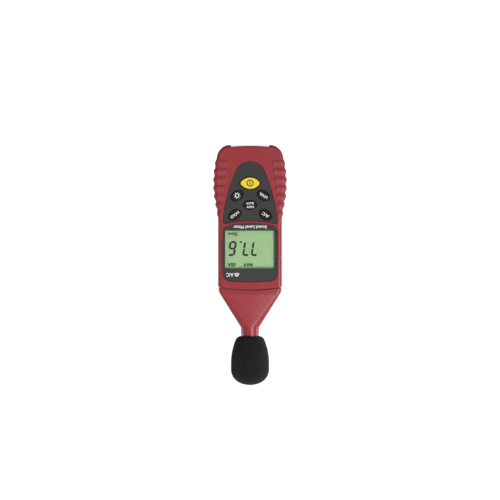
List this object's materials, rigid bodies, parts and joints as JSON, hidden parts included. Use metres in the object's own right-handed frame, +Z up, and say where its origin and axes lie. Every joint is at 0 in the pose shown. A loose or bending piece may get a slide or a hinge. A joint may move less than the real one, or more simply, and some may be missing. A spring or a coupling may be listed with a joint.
{
  "type": "sound level meter",
  "caption": "Hand-held sound level meter with a foam windscreen, a segment display, push keys, ribbed side grips and a battery door.",
  "frame": {"origin": "under the middle of the case, on the surface that its two corner bumpers stand on", "axes": "+Z up along the microphone axis, -Y out of the display, +X to the right of someone reading it"},
  "size_m": [0.0644, 0.0336, 0.21],
  "materials": {
    "red_shell": "satin",
    "red_grip": "matte",
    "foam": "matte",
    "grille": "satin",
    "black_rubber": "matte",
    "capsule": "satin",
    "wire": "satin",
    "dark_panel": "matte",
    "clear_window": "gloss",
    "lcd": "gloss",
    "white_plastic": "matte",
    "light_guide": "satin",
    "grey_rubber": "matte",
    "board": "satin",
    "steel": "satin",
    "chip": "matte",
    "pot_blue": "satin",
    "brass": "satin",
    "cell_jacket": "satin",
    "black_plastic": "matte",
    "yellow_key": "satin",
    "black_key": "satin"
  },
  "bodies": {
    "root": {"front_case": "red_shell", "rear_case": "red_shell", "mic_nose": "red_shell", "front_grips": "red_grip", "rear_grips": "red_grip", "mic_grille": "grille", "mic_holder": "black_rubber", "mic_capsule": "capsule", "mic_leads": "wire", "window_surround": "dark_panel", "display_window": "clear_window", "lcd_glass": "lcd", "lcd_holder": "white_plastic", "lcd_connectors": "black_rubber", "backlight": "light_guide", "keypad_panel": "dark_panel", "keypad_mat": "grey_rubber", "main_pcb": "board", "pcb_screws": "steel", "pcb_chips": "chip", "pcb_passives": "chip", "calibration_pot": "pot_blue", "battery_cell": "cell_jacket", "battery_terminals": "steel", "battery_snap": "black_plastic", "battery_leads": "wire", "battery_foam": "foam", "tripod_insert": "brass", "case_screws": "steel"},
    "windscreen": {"windscreen": "foam"},
    "battery_door": {"battery_door": "red_shell"},
    "calibration_rotor": {"calibration_rotor": "brass"},
    "key_power": {"key_power": "yellow_key"},
    "key_backlight": {"key_backlight": "black_key"},
    "key_level": {"key_level": "black_key"},
    "key_fast_slow": {"key_fast_slow": "black_key"},
    "key_hold": {"key_hold": "black_key"},
    "key_weighting": {"key_weighting": "black_key"}
  },
  "joints": [
    {"name": "press_power", "type": "slide", "parent": "root", "child": "key_power", "axis": [0, 1, 0], "range_m": [0, 0.0008], "stiffness_N_per_m": 800, "springref_m": -0.0005},
    {"name": "press_backlight", "type": "slide", "parent": "root", "child": "key_backlight", "axis": [0, 1, 0], "range_m": [0, 0.0008], "stiffness_N_per_m": 800, "springref_m": -0.0005},
    {"name": "press_level", "type": "slide", "parent": "root", "child": "key_level", "axis": [0, 1, 0], "range_m": [0, 0.0008], "stiffness_N_per_m": 800, "springref_m": -0.0005},
    {"name": "press_fast_slow", "type": "slide", "parent": "root", "child": "key_fast_slow", "axis": [0, 1, 0], "range_m": [0, 0.0008], "stiffness_N_per_m": 800, "springref_m": -0.0005},
    {"name": "press_hold", "type": "slide", "parent": "root", "child": "key_hold", "axis": [0, 1, 0], "range_m": [0, 0.0008], "stiffness_N_per_m": 800, "springref_m": -0.0005},
    {"name": "press_weighting", "type": "slide", "parent": "root", "child": "key_weighting", "axis": [0, 1, 0], "range_m": [0, 0.0008], "stiffness_N_per_m": 800, "springref_m": -0.0005},
    {"name": "windscreen_slide", "type": "slide", "parent": "root", "child": "windscreen", "axis": [0, 0, 1], "range_m": [0, 0.05]},
    {"name": "door_hinge", "type": "hinge", "parent": "root", "child": "battery_door", "pos_m": [0, 0.0149, 0.0101], "axis": [-1, 0, 0], "range_deg": [0, 75]},
    {"name": "trimmer_turn", "type": "hinge", "parent": "root", "child": "calibration_rotor", "pos_m": [-0.014, -0.003, 0.101], "axis": [0, 1, 0], "range_deg": [-130, 130]}
  ]
}
